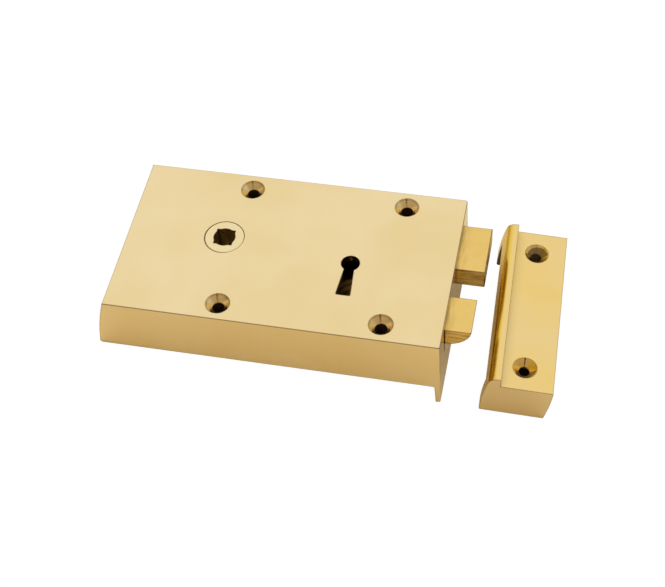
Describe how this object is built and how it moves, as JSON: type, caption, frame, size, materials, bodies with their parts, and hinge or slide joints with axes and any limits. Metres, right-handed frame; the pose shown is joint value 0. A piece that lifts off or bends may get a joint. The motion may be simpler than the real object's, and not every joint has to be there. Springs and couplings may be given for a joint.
{
  "type": "rim lock",
  "caption": "Cast brass rim lock with a sprung latch worked by a square spindle, a key-thrown dead bolt and a separate box keep.",
  "frame": {"origin": "where the spindle's axis meets the back plane of the case", "axes": "+X towards the forend and the keep, +Y up the door, +Z out of the face along the spindle's axis"},
  "size_m": [0.2048, 0.089, 0.0424],
  "materials": {
    "case_brass": "polished",
    "hub_brass": "polished",
    "bolt_brass": "polished",
    "keep_brass": "polished",
    "plate_brass": "satin, lightly dulled",
    "inner_brass": "as cast, oiled",
    "screw_brass": "satin",
    "steel": "oiled",
    "spring_steel": "oiled"
  },
  "bodies": {
    "case": {"case": "case_brass", "back_plate": "plate_brass", "back_plate_screws": "screw_brass", "front_ward": "inner_brass", "back_ward": "inner_brass", "spring_bridge": "inner_brass", "bridge_screw": "screw_brass", "latch_spring": "spring_steel", "guide_stud": "inner_brass", "guide_washer": "inner_brass", "detent_spring": "spring_steel", "detent_post": "inner_brass", "keep": "keep_brass"},
    "follower": {"follower": "hub_brass"},
    "latch": {"latch_bolt": "bolt_brass", "latch_rod": "steel", "latch_pin": "steel", "latch_collar": "inner_brass", "latch_yoke": "inner_brass", "yoke_nut": "inner_brass"},
    "dead_bolt": {"dead_bolt": "bolt_brass", "bolt_tail": "inner_brass", "bolt_rivets": "inner_brass"}
  },
  "joints": [
    {"name": "follower_turn", "type": "hinge", "parent": "case", "child": "follower", "pos_m": [0, 0, 0], "axis": [0, 0, 1], "range_deg": [0, 38]},
    {"name": "latch_slide", "type": "slide", "parent": "case", "child": "latch", "axis": [1, 0, 0], "range_m": [-0.0119, 0], "stiffness_N_per_m": 500, "springref_m": 0.008, "deforming": ["latch_spring"]},
    {"name": "dead_bolt_slide", "type": "slide", "parent": "case", "child": "dead_bolt", "axis": [1, 0, 0], "range_m": [-0.0134, 0], "deforming": ["detent_spring"]}
  ],
  "couplings": [
    {"joint": "follower_turn", "follows": "latch_slide", "rad_per_m": -55.733}
  ]
}
